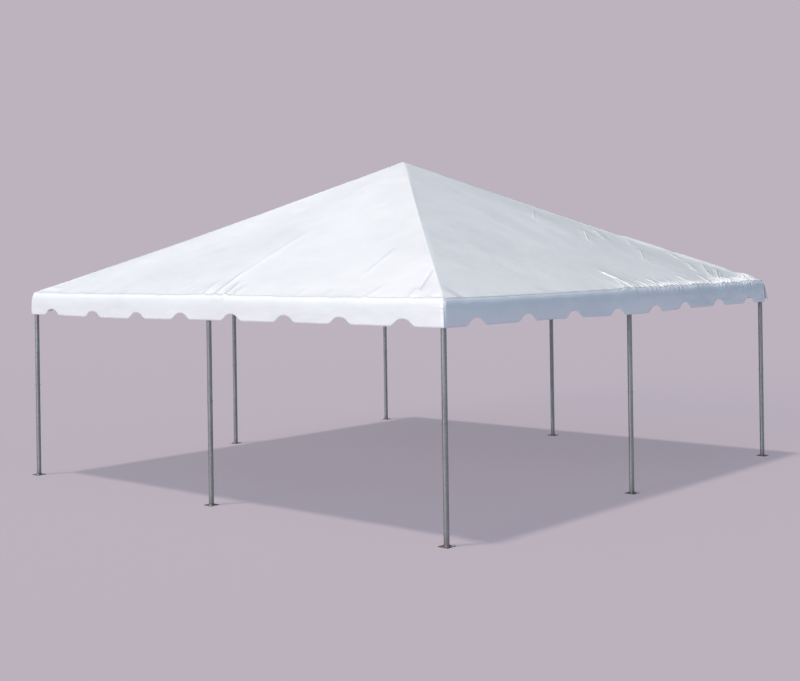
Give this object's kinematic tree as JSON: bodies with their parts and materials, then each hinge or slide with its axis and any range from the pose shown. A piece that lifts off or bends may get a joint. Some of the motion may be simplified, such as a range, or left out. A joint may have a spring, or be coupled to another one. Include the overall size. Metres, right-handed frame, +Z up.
{
  "type": "frame marquee tent",
  "caption": "Open-sided frame marquee: straight legs on base plates, tube eaves and rafters, a pyramid vinyl roof and a scalloped valance.",
  "frame": {"origin": "on the ground under the crown, at the centre of the plan", "axes": "+Z up; the front eave faces -Y and the right eave faces +X, and all four sides are alike"},
  "size_m": [6.206, 6.206, 3.6001],
  "materials": {
    "galvanised_steel": "satin galvanised tube",
    "cast_fitting": "dull hot-dip galvanised weldment",
    "white_vinyl": "semi-gloss coated vinyl sheet"
  },
  "bodies": {
    "root": {"leg_lower_front_left": "galvanised_steel", "leg_upper_front_left": "galvanised_steel", "leg_lower_front_right": "galvanised_steel", "leg_upper_front_right": "galvanised_steel", "leg_lower_back_right": "galvanised_steel", "leg_upper_back_right": "galvanised_steel", "leg_lower_back_left": "galvanised_steel", "leg_upper_back_left": "galvanised_steel", "leg_lower_front": "galvanised_steel", "leg_upper_front": "galvanised_steel", "leg_lower_right": "galvanised_steel", "leg_upper_right": "galvanised_steel", "leg_lower_back": "galvanised_steel", "leg_upper_back": "galvanised_steel", "leg_lower_left": "galvanised_steel", "leg_upper_left": "galvanised_steel", "corner_fitting_front_left": "cast_fitting", "corner_fitting_front_right": "cast_fitting", "corner_fitting_back_right": "cast_fitting", "corner_fitting_back_left": "cast_fitting", "side_fitting_front": "cast_fitting", "side_fitting_right": "cast_fitting", "side_fitting_back": "cast_fitting", "side_fitting_left": "cast_fitting", "crown_fitting": "cast_fitting", "eave_tube_front_1": "galvanised_steel", "eave_tube_front_2": "galvanised_steel", "eave_tube_right_1": "galvanised_steel", "eave_tube_right_2": "galvanised_steel", "eave_tube_back_1": "galvanised_steel", "eave_tube_back_2": "galvanised_steel", "eave_tube_left_1": "galvanised_steel", "eave_tube_left_2": "galvanised_steel", "hip_rafter_front_left": "galvanised_steel", "hip_rafter_front_right": "galvanised_steel", "hip_rafter_back_right": "galvanised_steel", "hip_rafter_back_left": "galvanised_steel", "side_rafter_front": "galvanised_steel", "side_rafter_right": "galvanised_steel", "side_rafter_back": "galvanised_steel", "side_rafter_left": "galvanised_steel", "roof_panel_front": "white_vinyl", "roof_panel_right": "white_vinyl", "roof_panel_back": "white_vinyl", "roof_panel_left": "white_vinyl", "valance_front": "white_vinyl", "valance_right": "white_vinyl", "valance_back": "white_vinyl", "valance_left": "white_vinyl"}
  },
  "joints": []
}
